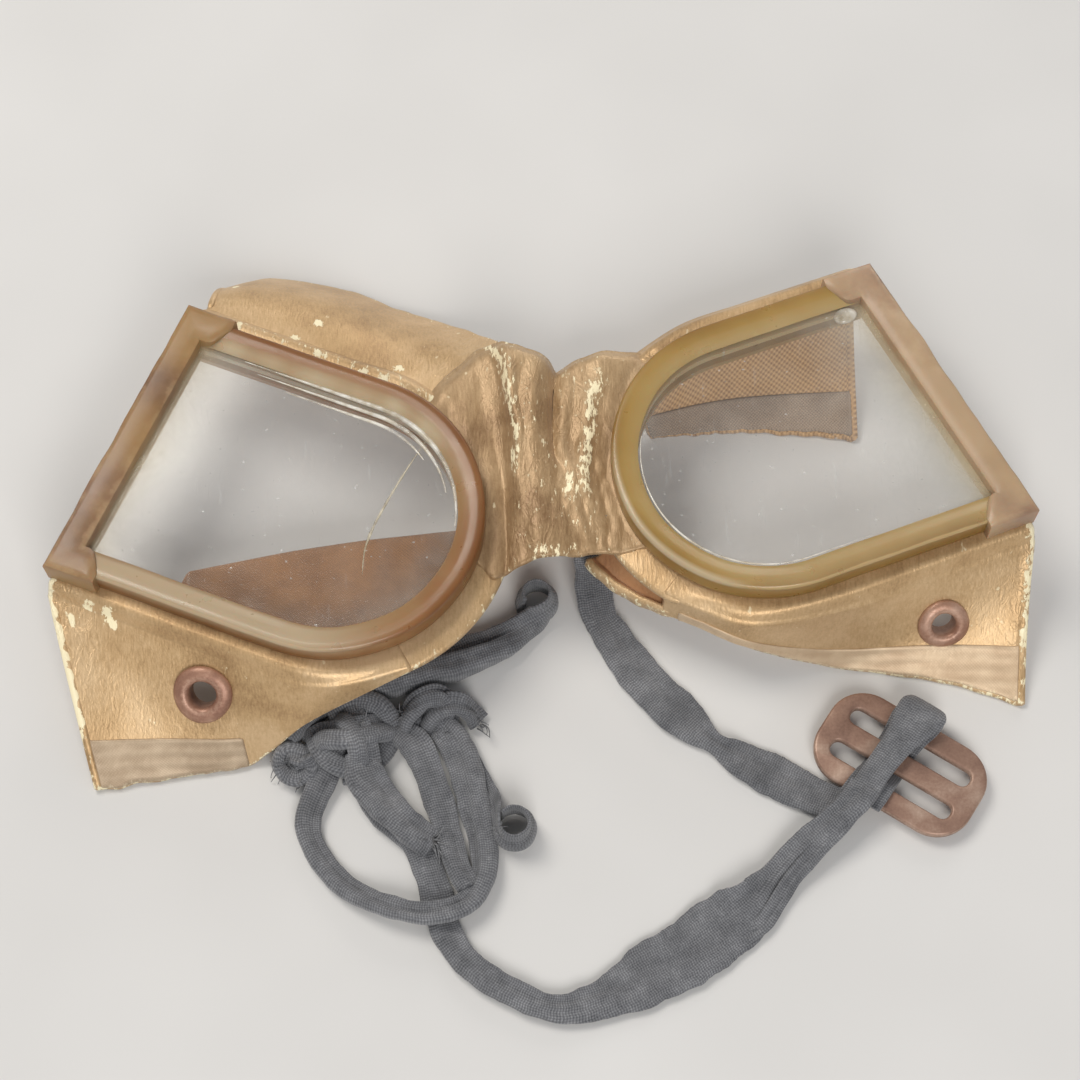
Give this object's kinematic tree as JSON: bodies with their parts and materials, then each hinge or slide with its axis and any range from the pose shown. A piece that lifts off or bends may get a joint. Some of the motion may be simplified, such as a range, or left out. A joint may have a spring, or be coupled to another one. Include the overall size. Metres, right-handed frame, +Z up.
{
  "type": "dust goggles",
  "caption": "Folding dust goggles: D-shaped clear lenses in amber rims, leather mask with fold-out skirts, vent eyelets, and a knotted elastic strap with a slide buckle.",
  "frame": {"origin": "bottom centre of the goggles without their strap, on the table", "axes": "+X from the left lens to the right lens, +Y from the cheek skirts to the brow skirts, +Z up, out of the lenses"},
  "size_m": [0.1652, 0.1384, 0.0232],
  "materials": {
    "lens": "clear, hazy and scratched",
    "amber_rim": "amber, worn gloss",
    "temple_bar": "tan, scuffed",
    "hide": "tan, cracked and rubbed",
    "hem_tape": "woven tape",
    "lining": "woven cloth",
    "eyelet_metal": "tarnished",
    "buckle_metal": "worn copper-brown",
    "elastic": "faded woven elastic"
  },
  "bodies": {
    "left_half": {"left_lens": "lens", "left_lens_rim": "amber_rim", "left_temple_bar": "temple_bar", "left_mask": "hide", "left_back_rim": "amber_rim", "left_lining_flap": "lining", "nose_bridge": "hide", "strap_left_run": "elastic", "strap_nose_curl": "elastic", "strap_knot": "elastic", "strap_loop": "elastic", "strap_loose_curl": "elastic", "strap_front_run": "elastic", "strap_tail_run": "elastic", "strap_right_run": "elastic"},
    "right_half": {"right_lens": "lens", "right_lens_rim": "amber_rim", "right_temple_bar": "temple_bar", "right_mask": "hide", "right_back_rim": "amber_rim", "right_nose_lip": "hide", "strap_right_end": "elastic"},
    "left_upper_flap": {"left_upper_skirt": "hide", "left_upper_hem": "hem_tape"},
    "left_lower_flap": {"left_lower_skirt": "hide", "left_lower_hem": "hem_tape", "left_eyelet": "eyelet_metal", "left_eyelet_washer": "eyelet_metal"},
    "right_upper_flap": {"right_upper_skirt": "hide", "right_upper_hem": "hem_tape"},
    "right_lower_flap": {"right_lower_skirt": "hide", "right_lower_hem": "hem_tape", "right_eyelet": "eyelet_metal", "right_eyelet_washer": "eyelet_metal"},
    "buckle": {"strap_slide_buckle": "buckle_metal", "strap_buckle_weave": "elastic"}
  },
  "joints": [
    {"name": "nose_fold", "type": "hinge", "parent": "left_half", "child": "right_half", "pos_m": [0.0005, 0.0036, 0.0225], "axis": [0, -1, 0], "range_deg": [-20, 160], "deforming": ["nose_bridge", "strap_right_end", "strap_nose_curl"]},
    {"name": "left_upper_fold", "type": "hinge", "parent": "left_half", "child": "left_upper_flap", "pos_m": [-0.02436, 0.02151, 0.01447], "axis": [0.9336, -0.3584, 0], "range_deg": [-110, 34]},
    {"name": "left_lower_fold", "type": "hinge", "parent": "left_half", "child": "left_lower_flap", "pos_m": [-0.04561, -0.03385, 0.01447], "axis": [-0.9336, 0.3584, 0], "range_deg": [-60, 26], "deforming": ["strap_left_run"]},
    {"name": "right_upper_fold", "type": "hinge", "parent": "right_half", "child": "right_upper_flap", "pos_m": [0.02603, 0.0325, 0.01447], "axis": [0.9367, 0.3502, 0], "range_deg": [-8, 140]},
    {"name": "right_lower_fold", "type": "hinge", "parent": "right_half", "child": "right_lower_flap", "pos_m": [0.0468, -0.02304, 0.01447], "axis": [-0.9367, -0.3502, 0], "range_deg": [-50, 26]},
    {"name": "buckle_slide", "type": "slide", "parent": "left_half", "child": "buckle", "axis": [-0.5417, -0.8406, 0], "range_m": [0, 0.01], "deforming": ["strap_tail_run", "strap_right_run"]}
  ]
}
